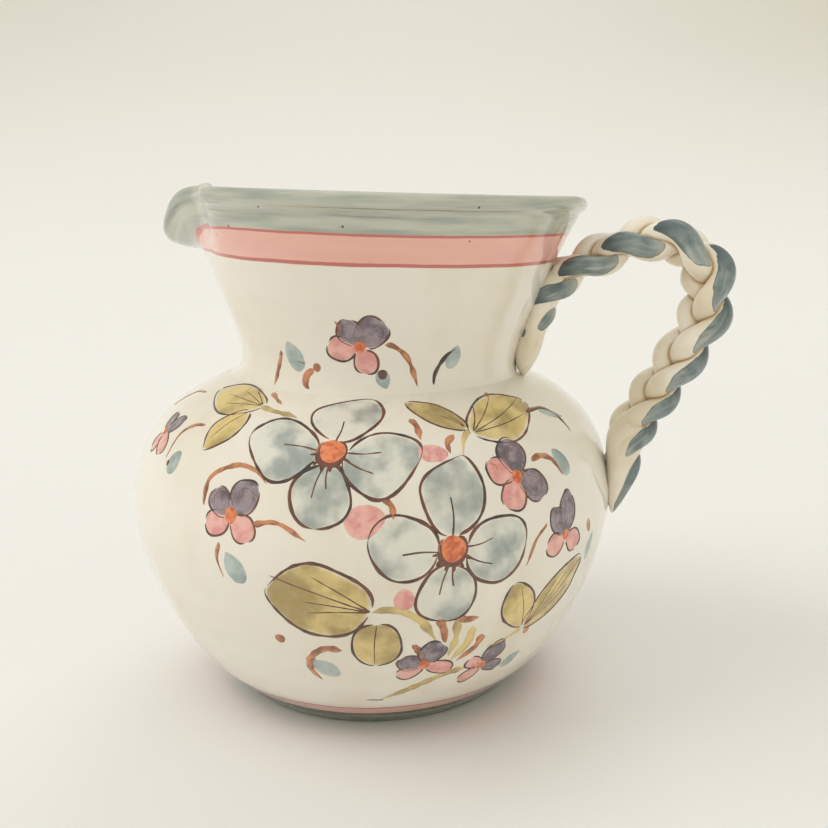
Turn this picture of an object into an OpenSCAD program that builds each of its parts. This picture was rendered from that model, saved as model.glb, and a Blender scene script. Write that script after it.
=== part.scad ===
// Hand-thrown pitcher with a round bowl, a flared neck, a pulled pouring lip
// and a handle of three plaited clay ropes.
// Millimetres, +Z up. The origin is the centre of the foot's underside. The handle
// is on +X and the pouring lip on -X.

/* [Bowl] */
// Largest outside radius of the bowl
bowl_r = 83; // [76:0.5:88]
// Height of the joint between bowl and neck
bowl_h = 108; // [104:1:114]
// Thickness of the bowl's wall
bowl_wall = 4.6; // [3.5:0.1:6]
// Thickness of the bowl's floor
floor_t = 6; // [4:0.5:9]

/* [Foot] */
// Outside radius of the foot where it stands
foot_r = 50.4; // [46:0.2:52]
// Height of the turned foot
foot_h = 5; // [3:0.5:7]
// Radius of the hollow turned under the foot
foot_hollow_r = 42; // [34:0.5:44]

/* [Neck] */
// Height of the neck, from its joint to the rim
neck_h = 60; // [54:1:66]
// Outside radius at the narrowest part of the neck
neck_r = 47.3; // [45:0.1:48.5]
// Outside radius of the rim
rim_r = 68.2; // [64:0.2:72]
// Thickness of the neck's wall
neck_wall = 4; // [3:0.1:5]
// How far the neck leans towards the handle
neck_lean = 2.5; // [0:0.1:3.5]
// How far the neck is set off the bowl's centre, towards the handle
neck_shift = 3; // [0:0.5:4]

/* [Pouring lip] */
// Half of the angle that the lip takes of the rim
lip_half_angle = 37; // [28:1:44]
// How far the tip reaches past the rim
lip_reach = 10.5; // [8:0.5:16]
// How far the tip hangs below the rim
lip_drop = 12.5; // [8:0.5:14]

/* [Handle] */
// Radius of one of the three clay ropes
strand_r = 2.7; // [2.2:0.05:2.75]
// How far each rope's centre swings to both sides of the handle
plait_swing = 6; // [5.6:0.1:6.8]
// How far each rope's centre moves in and out at the crossings
plait_depth = 4.2; // [4:0.1:4.6]
// Length over which one rope crosses to the other side and back
plait_length = 45.5; // [44:0.5:56]

/* [Hidden] */

// Colours of the glazes
cream = [0.95, 0.92, 0.84];
grey_green = [0.66, 0.70, 0.65];
slate = [0.45, 0.53, 0.55];

// Steps of each curve between two of its points
curve_steps = 5;
round_fn = 120;

// Outside of the bowl, from the foot up to the joint, as radius and height
belly = [[foot_r + 4, foot_h], [63.4, 14], [bowl_r - 11.3, 27], [bowl_r - 3.8, 45],
         [bowl_r, 65], [bowl_r - 2.6, 81], [bowl_r - 8.3, 92], [bowl_r - 16.8, 100],
         [57, 105], [50, bowl_h], [40, bowl_h + 3.5]];

// Outside of the neck above its joint, as radius and height
collar = [[neck_r + 0.9, 0], [neck_r, 4], [neck_r + 0.9, 10], [neck_r + 3.1, 17],
          [neck_r + 6.9, 27], [neck_r + 11.2, 39], [rim_r - 5.2, neck_h - 10.5],
          [rim_r, neck_h]];

// The lip starts at this height of the neck
lip_base_h = 39;
// Outside of the neck that the lip takes the place of
lip_side = [[neck_r + 11.2, lip_base_h], [rim_r - 5.2, neck_h - 10.5],
            [rim_r, neck_h]];
// Outside of the lip in its middle, from the neck out to the tip
lip_middle = [[neck_r + 11.2, lip_base_h], [rim_r - 2.5, lip_base_h + 5.5],
              [rim_r + lip_reach, neck_h - lip_drop]];
lip_sections = 26;
lip_rows = 9;
lip_cap_steps = 4;

// Centre line of the rope, in the plane through the handle, as x and z
rope_line = [[72.6, 144.6], [80.6, 148.4], [90, 151.4], [101, 151.1], [109.2, 146],
             [112.4, 137], [110.8, 126.5], [105, 115.6], [98.8, 105], [92.4, 95]];
// Place in the plait at which the first rope starts, in degrees
plait_start = 25;
rope_steps = 8;
rope_sides = 12;
end_rings = 4;

// Sections of the clay pressed onto the neck and the bowl: x, z, half thickness,
// half width
upper_root = [[72.6, 144.6, 7.2, 8.6], [66, 140.6, 7.2, 8.8], [61, 134.2, 6.8, 8.8],
              [57.4, 125, 6, 8.2], [55.2, 116, 4.8, 6.8], [54, 108.6, 3.4, 4]];
lower_root = [[92.4, 95, 7.2, 8.6], [88.2, 86, 7, 8.8], [86, 76.5, 5.4, 8.2],
              [84.4, 68, 3.2, 5.6], [83.4, 61, 1.6, 2.4]];
root_steps = 4;
root_sides = 20;

// One point of the smooth curve through a, b, c and d, between b and c
function curve_point(a, b, c, d, t) =
    0.5 * ((2 * b) + (c - a) * t + (2 * a - 5 * b + 4 * c - d) * t * t
           + (3 * b - a - 3 * c + d) * t * t * t);

// Smooth curve through all points of a list
function smooth(points, steps) = let (last = len(points) - 1) [
    for (i = [0 : last - 1], s = [0 : steps - 1])
        curve_point(i == 0 ? 2 * points[0] - points[1] : points[i - 1], points[i],
                    points[i + 1],
                    i == last - 1 ? 2 * points[last] - points[last - 1] : points[i + 2],
                    s / steps),
    points[last]];

// Direction of a list of points at place i
function heading(points, i) =
    let (a = points[max(i - 1, 0)], b = points[min(i + 1, len(points) - 1)])
    (b - a) / norm(b - a);

// The same profile, moved inwards by a wall's thickness
function inner_side(points, wall) = [
    for (i = [0 : len(points) - 1])
        let (along = heading(points, i))
        points[i] + wall * [-along[1], along[0]]];

function reversed(points) = [for (i = [len(points) - 1 : -1 : 0]) points[i]];

// Point of a profile at a share s of its number of points
function profile_at(points, s) =
    let (place = s * (len(points) - 1), i = min(floor(place), len(points) - 2))
    points[i] + (place - i) * (points[i + 1] - points[i]);

// Closed skin over a list of rings that all have the same number of points
module skin(rings) {
    count = len(rings);
    sides = len(rings[0]);
    points = [for (ring = rings, p = ring) p];
    walls = [for (r = [0 : count - 2], s = [0 : sides - 1])
        let (next = (s + 1) % sides)
        each [[r * sides + s, (r + 1) * sides + s, (r + 1) * sides + next],
              [r * sides + s, (r + 1) * sides + next, r * sides + next]]];
    first = [for (s = [0 : sides - 1]) s];
    last = [for (s = [sides - 1 : -1 : 0]) (count - 1) * sides + s];
    polyhedron(points, concat(walls, [first, last]));
}

// Puts its children where the neck stands on the bowl
module on_neck() {
    translate([neck_shift, 0, bowl_h]) rotate([0, neck_lean, 0]) children();
}

// Everything above the plane of the joint between bowl and neck
module above_joint() {
    on_neck() translate([-bowl_r, -bowl_r, 0]) cube([2 * bowl_r, 2 * bowl_r, neck_h]);
}

// The bowl's outer form, filled in
module bowl_form() {
    outside = smooth(belly, curve_steps);
    rotate_extrude($fn = round_fn)
        polygon(concat([[0, foot_h]], outside, [[0, bowl_h + 3.5]]));
}

// The neck's outer form, filled in
module neck_form() {
    outside = smooth(collar, curve_steps);
    rotate_extrude($fn = round_fn) polygon(concat([[0, 0]], outside, [[0, neck_h]]));
}

module foot_ring() {
    color(grey_green) rotate_extrude($fn = round_fn)
        polygon([[foot_hollow_r, 0.8], [foot_hollow_r + 0.8, 0], [foot_r - 0.8, 0],
                 [foot_r, 0.8], [foot_r + 3.2, foot_h - 0.8],
                 [foot_r + 3.2, foot_h], [foot_hollow_r - 1.6, foot_h]]);
}

module bowl() {
    outside = smooth(belly, curve_steps);
    inside = [for (p = inner_side(outside, bowl_wall))
              if (p[1] > foot_h + floor_t && p[0] > 0) p];
    color(cream) difference() {
        bowl_form();
        above_joint();
        rotate_extrude($fn = round_fn)
            polygon(concat([[0, foot_h + floor_t], [inside[0][0] - 2, foot_h + floor_t]],
                           inside, [[0, inside[len(inside) - 1][1]]]));
        on_neck() translate([0, 0, -neck_wall - bowl_wall])
            cylinder(r = neck_r - neck_wall + 1, h = neck_h, $fn = round_fn);
    }
}

// Half circle over a wall of thickness wall, from its outer to its inner edge
function lip_cap(outer, inner, steps) =
    let (middle = (outer + inner) / 2, out = outer - middle,
         up = [-out[1], out[0]])
    [for (s = [1 : steps - 1])
        let (a = 180 * s / steps) middle + cos(a) * out + sin(a) * up];

module neck() {
    outside = smooth(collar, curve_steps);
    inside = inner_side(outside, neck_wall);
    top = len(outside) - 1;
    color(cream) on_neck() difference() {
        rotate_extrude($fn = round_fn)
            polygon(concat([[inside[0][0], 0]], outside,
                           lip_cap(outside[top], inside[top], lip_cap_steps),
                           reversed([for (p = inside) if (p[1] > 0.5) p])));
        translate([0, 0, lip_base_h]) linear_extrude(neck_h)
            polygon([[0, 0],
                     2 * rim_r * [-cos(lip_half_angle), sin(lip_half_angle)],
                     [-2 * rim_r, 0],
                     2 * rim_r * [-cos(lip_half_angle), -sin(lip_half_angle)]]);
    }
}

// Outline of the lip's clay, cut at an angle from its middle
function lip_section(angle) =
    let (side = smooth(lip_side, curve_steps), middle = smooth(lip_middle, curve_steps),
         side_in = inner_side(side, neck_wall), middle_in = inner_side(middle, neck_wall),
         pull = pow(cos(90 * angle / lip_half_angle), 1.5),
         outer = [for (i = [0 : lip_rows - 1]) let (s = i / (lip_rows - 1))
                  (1 - pull) * profile_at(side, s) + pull * profile_at(middle, s)],
         inner = [for (i = [0 : lip_rows - 1]) let (s = i / (lip_rows - 1))
                  (1 - pull) * profile_at(side_in, s) + pull * profile_at(middle_in, s)],
         rise = side_in[1] - side_in[0],
         base_in = [side_in[0][0] - (side_in[0][1] - lip_base_h) * rise[0] / rise[1],
                    lip_base_h])
    concat(outer, lip_cap(outer[lip_rows - 1], inner[lip_rows - 1], lip_cap_steps),
           [for (i = [lip_rows - 1 : -1 : 1]) inner[i]], [base_in]);

module pouring_lip() {
    color(grey_green) on_neck() skin([
        for (i = [0 : lip_sections])
            let (angle = lip_half_angle * (2 * i / lip_sections - 1))
            [for (p = lip_section(angle))
                [-p[0] * cos(angle), p[0] * sin(angle), p[1]]]]);
}

// Length of a list of points up to place i
function length_to(points, i) =
    i == 0 ? 0 : length_to(points, i - 1) + norm(points[i] - points[i - 1]);

// Centre of one clay rope at place i of the handle's line, where start is the place
// in the plait that it starts at. It moves in and out twice while it crosses over
// and back once, so it passes over one neighbour and under the next.
function strand_point(line, i, start) =
    let (along = heading(line, i), turn = start + 360 * length_to(line, i) / plait_length,
         out = plait_depth * sin(2 * turn))
    [line[i][0] - out * along[1], plait_swing * sin(turn), line[i][1] + out * along[0]];

// Direction of ring i of a rope. Its first and last rings turn into the flat faces
// of the clay that is pressed on.
function ring_heading(line, centres, i) =
    let (last = len(line) - 1, flat = heading(line, i),
         share = min(1, i / end_rings, (last - i) / end_rings),
         along = share * heading(centres, i) + (1 - share) * [flat[0], 0, flat[1]])
    along / norm(along);

// Ring of points around p that stands square to a direction
function ring_around(p, along, radius, sides) =
    let (side = cross(along, [0, 1, 0]), across = side / norm(side),
         up = cross(across, along))
    [for (s = [0 : sides - 1]) let (a = -360 * s / sides)
        p + radius * (cos(a) * across + sin(a) * up)];

// One clay rope of the handle; the three of them are plaited
module handle_strand(start) {
    line = smooth(rope_line, rope_steps);
    centres = [for (i = [0 : len(line) - 1]) strand_point(line, i, start)];
    color(slate) skin([for (i = [0 : len(line) - 1])
        ring_around(centres[i], ring_heading(line, centres, i), strand_r, rope_sides)]);
}

// Clay smeared along a list of sections, square to the way they run
module pressed_clay(sections) {
    places = smooth(sections, root_steps);
    line = [for (p = places) [p[0], p[1]]];
    skin([for (i = [0 : len(places) - 1])
        let (along = heading(line, i), p = places[i])
        [for (s = [0 : root_sides - 1])
            let (a = 360 * s / root_sides, out = p[2] * cos(a))
            [p[0] - out * along[1], p[3] * sin(a), p[1] + out * along[0]]]]);
}

module upper_handle_root() {
    color(cream) difference() {
        pressed_clay(upper_root);
        on_neck() neck_form();
        bowl_form();
    }
}

module lower_handle_terminal() {
    color(cream) difference() {
        pressed_clay(lower_root);
        bowl_form();
    }
}

foot_ring();
bowl();
neck();
pouring_lip();
handle_strand(plait_start);  // handle_strand_1
handle_strand(plait_start + 120);  // handle_strand_2
handle_strand(plait_start + 240);  // handle_strand_3
upper_handle_root();
lower_handle_terminal();
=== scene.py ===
# %% [markdown]
# # A hand-painted pitcher
#
# The pitcher is one fired piece of tin-glazed clay: a thrown bowl on a turned foot, a
# flared neck with a pulled lip, and a handle of three plaited clay ropes. This lesson
# makes its smooth skin, its glazes and its painting, around the solid model.

# %% Load the solid model
import bisect
import math

import bpy
from mathutils import Matrix, Vector, kdtree, noise


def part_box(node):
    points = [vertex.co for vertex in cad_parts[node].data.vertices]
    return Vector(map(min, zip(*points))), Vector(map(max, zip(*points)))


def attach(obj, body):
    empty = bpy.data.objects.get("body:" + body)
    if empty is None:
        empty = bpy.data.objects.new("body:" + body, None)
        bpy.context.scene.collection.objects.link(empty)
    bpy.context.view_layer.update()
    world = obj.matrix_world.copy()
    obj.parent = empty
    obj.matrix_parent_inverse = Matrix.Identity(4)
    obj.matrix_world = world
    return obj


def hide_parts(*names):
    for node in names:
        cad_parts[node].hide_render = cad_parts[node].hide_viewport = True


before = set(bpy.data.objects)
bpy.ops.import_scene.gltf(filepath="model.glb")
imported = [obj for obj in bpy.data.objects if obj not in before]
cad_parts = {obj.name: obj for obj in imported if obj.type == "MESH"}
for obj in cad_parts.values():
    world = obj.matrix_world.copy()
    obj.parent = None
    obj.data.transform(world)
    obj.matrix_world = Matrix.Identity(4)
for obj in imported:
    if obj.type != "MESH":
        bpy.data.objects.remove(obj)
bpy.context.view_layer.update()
MM = 0.001

# %% [markdown]
# The bowl and the foot take their sizes from the solid pieces' own boxes. The neck was
# thrown apart and pressed on by hand, so it leans a little and stands off centre.

# %% Sizes of the pitcher
BOWL_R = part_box("bowl")[1][0]
FOOT_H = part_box("foot_ring")[1][2]
JOINT_H = 108 * MM
NECK_H = 60 * MM
RIM_R = 68.2 * MM
BOWL_WALL = 4.6 * MM
NECK_WALL = 4 * MM
NECK_SHIFT = 3 * MM
NECK_LEAN = math.radians(2.5)
print("bowl radius", round(BOWL_R / MM, 1), "mm, foot height", round(FOOT_H / MM, 1), "mm")

# %% [markdown]
# Every piece needs these helpers: they clear the selection before a primitive is added,
# turn faces outward, and finish a piece by naming and glazing it, saying which body
# carries it and hiding the solid that it stands for.

# %% Helpers for starting and finishing a piece
def start_fresh():
    """Nothing selected, and no object in edit mode."""
    if bpy.context.object and bpy.context.object.mode != "OBJECT":
        bpy.ops.object.mode_set(mode="OBJECT")
    bpy.ops.object.select_all(action="DESELECT")


def turn_outward():
    """In edit mode: let all faces look outward, and leave edit mode."""
    bpy.ops.mesh.select_all(action="SELECT")
    bpy.ops.mesh.normals_make_consistent(inside=False)
    bpy.ops.object.mode_set(mode="OBJECT")


def finish_piece(piece, name, glaze, nodes=()):
    """Name a piece, glaze it, and hang it on the pitcher's one body."""
    piece.name = name
    piece.data.name = name
    piece.data.materials.clear()
    piece.data.materials.append(glaze)
    piece.data.polygons.foreach_set("use_smooth", [True] * len(piece.data.polygons))
    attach(piece, "root")
    if nodes:
        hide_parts(*nodes)
    print(name, "-", len(piece.data.polygons), "faces")


def smooth_line(points, steps):
    """A smooth curve through all of the points, with this many steps between two."""
    ends = [2 * points[0] - points[1]] + points + [2 * points[-1] - points[-2]]
    line = []
    for a, b, c, d in zip(ends, ends[1:], ends[2:], ends[3:]):
        for step in range(steps):
            t = step / steps
            line.append(0.5 * (2 * b + (c - a) * t + (2 * a - 5 * b + 4 * c - d) * t**2
                               + (3 * b - a - 3 * c + d) * t**3))
    return line + [points[-1]]

# %% [markdown]
# The camera stands a little towards the handle and level with the rim, and looks down
# at the bowl.

# %% Camera
CAMERA_AT = Vector((90.8, -328.2, 168.2)) * MM
TURN, PITCH, ROLL = math.radians(13), math.radians(12.76), math.radians(-0.9)

camera = bpy.data.objects.new("camera", bpy.data.cameras.new("camera"))
bpy.context.collection.objects.link(camera)
camera.data.sensor_width = 36
camera.data.lens = 42.8
camera.data.clip_start = 0.01
camera.matrix_world = (Matrix.Translation(CAMERA_AT) @ Matrix.Rotation(TURN, 4, "Z")
                       @ Matrix.Rotation(math.pi / 2 - PITCH, 4, "X")
                       @ Matrix.Rotation(ROLL, 4, "Z"))
bpy.context.scene.camera = camera

# %% [markdown]
# The sweep is one vertex drawn out along a line and spun round: a flat floor that
# curves up into a wall. It casts no shadow, so the lamps shine through it.

# %% Pale sweep
def spin_line(name, line, steps):
    """Draw a vertex out along (radius, height) points and spin it round +Z."""
    start_fresh()
    bpy.ops.mesh.primitive_plane_add(size=1)
    piece = bpy.context.object
    piece.name = name
    bpy.ops.object.mode_set(mode="EDIT")
    bpy.ops.mesh.merge(type="CENTER")
    bpy.ops.transform.translate(value=(line[0].x, 0, line[0].y))
    for here, there in zip(line, line[1:]):
        step = there - here
        bpy.ops.mesh.extrude_region_move(TRANSFORM_OT_translate={"value": (step.x, 0, step.y)})
    bpy.ops.mesh.select_all(action="SELECT")
    bpy.ops.mesh.spin(steps=steps, angle=2 * math.pi, center=(0, 0, 0), axis=(0, 0, 1))
    bpy.ops.mesh.select_all(action="SELECT")
    bpy.ops.mesh.remove_doubles(threshold=0.00001)
    turn_outward()
    return piece


sweep_line = [Vector((0, 0)), Vector((0.35, 0)), Vector((0.7, 0.03)), Vector((1.1, 0.16)),
              Vector((1.5, 0.42)), Vector((1.8, 0.85)), Vector((1.95, 1.5)), Vector((2, 2.2))]
sweep = spin_line("sweep", smooth_line(sweep_line, 8), 96)
sweep.data.flip_normals()
sweep.data.polygons.foreach_set("use_smooth", [True] * len(sweep.data.polygons))
sweep.visible_shadow = False

# %% [markdown]
# Soft studio light: a bright, slightly warm surround, a large soft lamp from the upper
# left, a weaker one on the right and one behind. They stand outside the sweep, and
# stay out of the reflections, because a glossy glaze would show them as hard squares.

# %% Studio light
def soft_lamp(name, place, size, watts, colour):
    lamp = bpy.data.objects.new(name, bpy.data.lights.new(name, "AREA"))
    bpy.context.collection.objects.link(lamp)
    lamp.data.shape = "RECTANGLE"
    lamp.data.size, lamp.data.size_y = size
    lamp.data.energy = watts
    lamp.data.color = colour
    lamp.visible_glossy = False
    aim = Vector((0, 0, 0.09)) - Vector(place)
    turn = aim.to_track_quat("-Z", "Y").to_matrix().to_4x4()
    lamp.matrix_world = Matrix.Translation(place) @ turn


soft_lamp("key_lamp", (-3.0, -1.0, 2.9), (3.2, 3.2), 77, (1, 0.985, 0.96))
soft_lamp("fill_lamp", (3.2, -0.9, 1.6), (2.0, 2.0), 12, (1, 0.98, 0.95))
soft_lamp("back_lamp", (0.3, 3.3, 2.8), (2.8, 2.2), 34, (1, 0.99, 0.97))

world = bpy.data.worlds.new("studio")
bpy.context.scene.world = world
world.use_nodes = True
world.node_tree.nodes["Background"].inputs["Color"].default_value = (1, 0.985, 0.95, 1)
world.node_tree.nodes["Background"].inputs["Strength"].default_value = 0.75
bpy.context.scene.view_settings.view_transform = "Standard"

# %% [markdown]
# Every finish here is a glaze: colour under a thin layer of glass. Two short helpers
# put nodes into a material, so that each glaze below reads like a recipe.

# %% Helpers for glazes
def put(tree, kind, settings=None, **inputs):
    """Add a shader node; an input is a plain value or another node's socket."""
    node = tree.nodes.new("ShaderNode" + kind)
    for key, value in (settings or {}).items():
        setattr(node, key, value)
    for key, value in inputs.items():
        socket = node.inputs[key.replace("_", " ")]
        if isinstance(value, bpy.types.NodeSocket):
            tree.links.new(value, socket)
        else:
            socket.default_value = value
    return node


def calc(tree, operation, *values):
    """A math node on numbers or sockets."""
    node = tree.nodes.new("ShaderNodeMath")
    node.operation = operation
    for socket, value in zip(node.inputs, values):
        if isinstance(value, bpy.types.NodeSocket):
            tree.links.new(value, socket)
        else:
            socket.default_value = value
    return node.outputs[0]


def spotted(tree, vector, scale, detail=3.0, roughness=0.5):
    """Noise from 0 to 1 with spots about 1 / scale metres wide."""
    return put(tree, "TexNoise", Vector=vector, Scale=scale, Detail=detail,
               Roughness=roughness).outputs["Fac"]


def fade(tree, value, start, end):
    """0 where the value is start, 1 where it is end, and smooth between them."""
    return put(tree, "MapRange", {"interpolation_type": "SMOOTHSTEP"}, Value=value,
               From_Min=start, From_Max=end).outputs["Result"]


def blend(tree, share, first, second):
    """Mix two colours; each is four numbers or a socket."""
    node = tree.nodes.new("ShaderNodeMix")
    node.data_type = "RGBA"
    for index, value in ((0, share), (6, first), (7, second)):
        if isinstance(value, bpy.types.NodeSocket):
            tree.links.new(value, node.inputs[index])
        else:
            node.inputs[index].default_value = value
    return node.outputs[2]


def new_glaze(name):
    """An empty material and its Object coordinates."""
    glaze = bpy.data.materials.new(name)
    glaze.use_nodes = True
    glaze.node_tree.nodes.clear()
    place = put(glaze.node_tree, "TexCoord").outputs["Object"]
    return glaze, glaze.node_tree, place


def glass_over(tree, place, colour, gloss=0.1):
    """Finish a glaze: colour below, a rippled coat of glass on top."""
    wave = spotted(tree, place, 70, 2)
    grain = spotted(tree, place, 900, 2)
    height = calc(tree, "ADD", wave, calc(tree, "MULTIPLY", grain, 0.05))
    bump = put(tree, "Bump", Strength=0.16, Distance=0.6 * MM, Height=height)
    dull = calc(tree, "ADD", gloss - 0.03, calc(tree, "MULTIPLY", wave, 0.07))
    shader = put(tree, "BsdfPrincipled", Base_Color=colour, Roughness=dull, IOR=1.52,
                 Coat_Weight=0.5, Coat_Roughness=0.04, Normal=bump.outputs["Normal"])
    out = put(tree, "OutputMaterial")
    tree.links.new(shader.outputs["BSDF"], out.inputs["Surface"])


def tint(red, green, blue):
    """A colour from its screen values, 0 to 255."""
    return tuple(((c / 255 + 0.055) / 1.055) ** 2.4 for c in (red, green, blue)) + (1.0,)

# %% [markdown]
# The paper of the sweep is dull. It is painted a little darker and warmer where it rises
# far from the pitcher, most of all at its sides: painted shade, for light that falls off
# towards the edges of the studio.

# %% Paper of the sweep
paper, tree, place = new_glaze("paper_with_painted_shade")
across, _, up = put(tree, "SeparateXYZ", Vector=place).outputs
# Painted shade: the paper darkens where it rises, the more so the farther it lies to the side.
aside = calc(tree, "POWER", calc(tree, "ABSOLUTE", calc(tree, "ADD", across, 0.4)), 2.0)
share = calc(tree, "MULTIPLY", fade(tree, up, 0.0, 0.5),
             calc(tree, "ADD", calc(tree, "MULTIPLY", aside, 0.9), 0.35))
shader = put(tree, "BsdfPrincipled", Roughness=0.6, Base_Color=blend(
    tree, share, (0.85, 0.845, 0.84, 1), (0.66, 0.64, 0.55, 1)))
tree.links.new(shader.outputs["BSDF"], put(tree, "OutputMaterial").inputs["Surface"])
sweep.data.materials.append(paper)

# %% [markdown]
# The clay body is dipped in a white tin glaze that fires to a warm cream. It is a
# little whiter where it lies thick and browner where it ran thin, so the recipe mixes
# two creams over wide, soft spots.

# %% Cream tin glaze
CREAM_THICK = tint(238, 233, 222)
CREAM_THIN = tint(224, 213, 191)


def cream(tree, place):
    clouds = spotted(tree, place, 16, 3)
    drips = spotted(tree, put(tree, "Mapping", Vector=place, Scale=(60, 60, 9)).outputs[0], 1, 3)
    thin = calc(tree, "MULTIPLY", fade(tree, clouds, 0.4, 0.75), fade(tree, drips, 0.3, 0.7))
    return blend(tree, thin, CREAM_THICK, CREAM_THIN)

# %% [markdown]
# The bands were painted while the pot turned on the wheel, so their edges run level
# and their brush streaks run round. Each thrown piece keeps an attribute with the
# place that each of its points had on the wheel, before it was leaned or pinched, and
# the bands read their height from it.

# %% Brushed bands
WHEEL = "wheel_place"
GREY_GREEN = tint(198, 200, 186)
GREY_GREEN_DEEP = tint(154, 162, 153)
PINK = tint(243, 193, 180)
PINK_DEEP = tint(232, 172, 158)
PINK_LINE = tint(198, 112, 102)
DARK_LINE = tint(92, 66, 58)


def wheel_place(tree):
    return put(tree, "Attribute", {"attribute_name": WHEEL}).outputs["Vector"]


def round_streaks(tree, wheel, fine):
    """Brush streaks that run round the pot."""
    stretched = put(tree, "Mapping", Vector=wheel, Scale=(22, 22, fine)).outputs[0]
    return spotted(tree, stretched, 1, 4, 0.6)


def wavy_height(tree, wheel, wobble):
    """Height on the wheel in millimetres, with the small wobble of a hand-held brush."""
    height = put(tree, "SeparateXYZ", Vector=wheel).outputs["Z"]
    flat = put(tree, "Mapping", Vector=wheel, Scale=(45, 45, 120)).outputs[0]
    sway = calc(tree, "SUBTRACT", spotted(tree, flat, 1, 3), 0.5)
    return calc(tree, "ADD", calc(tree, "MULTIPLY", height, 1000),
                calc(tree, "MULTIPLY", sway, wobble))


def band(tree, height, low, high, soft=0.3):
    """1 between two heights in millimetres."""
    return calc(tree, "MULTIPLY", fade(tree, height, low, low + soft),
                fade(tree, height, high, high - soft))


def banded(tree, height, colour, *bands):
    """Paint bands over a colour, each given as (low, high, paint)."""
    for low, high, paint in bands:
        colour = blend(tree, band(tree, height, low, high), colour, paint)
    return colour

# %% Glaze of the foot
def foot_colour(tree, wheel):
    return blend(tree, fade(tree, round_streaks(tree, wheel, 500), 0.35, 0.7),
                 tint(134, 138, 122), tint(96, 102, 90))


foot_glaze, tree, place = new_glaze("foot_glaze")
glass_over(tree, place, foot_colour(tree, wheel_place(tree)), 0.2)

# %% Glaze of the bowl, with the bands above its foot
FOOT_LINE, FOOT_BAND, FOOT_EDGE = 6.0, 6.7, 11.2

bowl_glaze, tree, place = new_glaze("bowl_glaze")
wheel = wheel_place(tree)
height = wavy_height(tree, wheel, 0.9)
pink = blend(tree, round_streaks(tree, wheel, 420), PINK, PINK_DEEP)
colour = banded(tree, height, cream(tree, place), (FOOT_BAND - 1, FOOT_EDGE, pink),
                (FOOT_EDGE - 1, FOOT_EDGE + 0.1, PINK_LINE))
colour = blend(tree, fade(tree, height, FOOT_LINE, FOOT_LINE - 0.3), colour,
               foot_colour(tree, wheel))
colour = blend(tree, band(tree, height, FOOT_LINE - 0.5, FOOT_BAND, 0.25), colour, DARK_LINE)
glass_over(tree, place, colour)

# %% [markdown]
# The neck carries the widest bands: grey-green over the rim and the whole lip, pink
# below it with a deeper line at each edge, and cream for the rest. Small dark pinholes
# show where gas came through the glaze.

# %% Glaze of the neck
PINK_LOW, PINK_HIGH = 40.0, 49.6

neck_glaze, tree, place = new_glaze("neck_glaze")
wheel = wheel_place(tree)
height = wavy_height(tree, wheel, 1.0)
grey = blend(tree, fade(tree, round_streaks(tree, wheel, 260), 0.35, 0.7),
             GREY_GREEN, GREY_GREEN_DEEP)
pink = blend(tree, round_streaks(tree, wheel, 300), PINK, PINK_DEEP)
pinholes = put(tree, "TexVoronoi", Vector=place, Scale=150.0)
hole = fade(tree, pinholes.outputs["Distance"], 0.075, 0.045)
few = fade(tree, put(tree, "SeparateColor", Color=pinholes.outputs["Color"]).outputs["Red"],
           0.5, 0.52)
hole = calc(tree, "MULTIPLY", hole, few)
colour = cream(tree, place)
colour = blend(tree, fade(tree, height, PINK_HIGH - 0.2, PINK_HIGH + 0.2), colour, grey)
for line, width in ((54.2, 0.5), (56.4, 0.6)):
    ring = calc(tree, "MULTIPLY", band(tree, height, line, line + width, 0.25),
                fade(tree, round_streaks(tree, wheel, 90), 0.4, 0.6))
    colour = blend(tree, calc(tree, "MULTIPLY", ring, 0.6), colour, tint(104, 94, 84))
colour = banded(tree, height, colour, (PINK_LOW, PINK_HIGH, pink),
                (PINK_LOW - 0.2, PINK_LOW + 1.2, PINK_LINE),
                (PINK_HIGH - 0.9, PINK_HIGH + 0.2, PINK_LINE))
hole = calc(tree, "MULTIPLY", hole, fade(tree, height, PINK_LOW, PINK_LOW + 1))
colour = blend(tree, hole, colour, DARK_LINE)
glass_over(tree, place, colour)

# %% [markdown]
# The bowl was thrown on a wheel, and Blender can do the same: a vertex is drawn out
# along half of the bowl's cut face and spun round, which gives the wall its thickness
# too. A thrown wall is never quite even, so its points are then moved in and out a bit.

# %% Bowl outline
BELLY = [Vector(p) * MM for p in (
    (54.4, 5), (63.4, 14), (71.7, 27), (79.2, 45), (83, 65), (80.4, 81), (74.7, 92),
    (66.2, 100), (57, 105), (50, 108), (44.5, 109.8))]
FLOOR_TOP = 11 * MM


def inner_line(line, wall):
    """The same outline, moved inwards by the wall's thickness."""
    moved = []
    for index, point in enumerate(line):
        along = line[min(index + 1, len(line) - 1)] - line[max(index - 1, 0)]
        along.normalize()
        moved.append(point + wall * Vector((-along.y, along.x)))
    return moved


def round_corner(outer, inner, steps):
    """Half circle over a wall, from its outer to its inner edge."""
    middle, half = (outer + inner) / 2, (outer - inner) / 2
    up = Vector((-half.y, half.x))
    return [middle + math.cos(a) * half + math.sin(a) * up
            for a in (math.pi * s / steps for s in range(1, steps))]


belly = smooth_line(BELLY, 12)
belly_inside = [p for p in inner_line(belly, BOWL_WALL) if p.y > FLOOR_TOP + 4 * MM]
floor_corner = [Vector((belly_inside[0].x - 1.5 * MM, FLOOR_TOP + 1.8 * MM)),
                Vector((belly_inside[0].x - 5 * MM, FLOOR_TOP + 0.2 * MM))]
bowl_line = ([Vector((0, FOOT_H)), Vector((40 * MM, FOOT_H))] + belly
             + round_corner(belly[-1], belly_inside[-1], 4) + belly_inside[::-1]
             + floor_corner + [Vector((0, FLOOR_TOP))])

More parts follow.
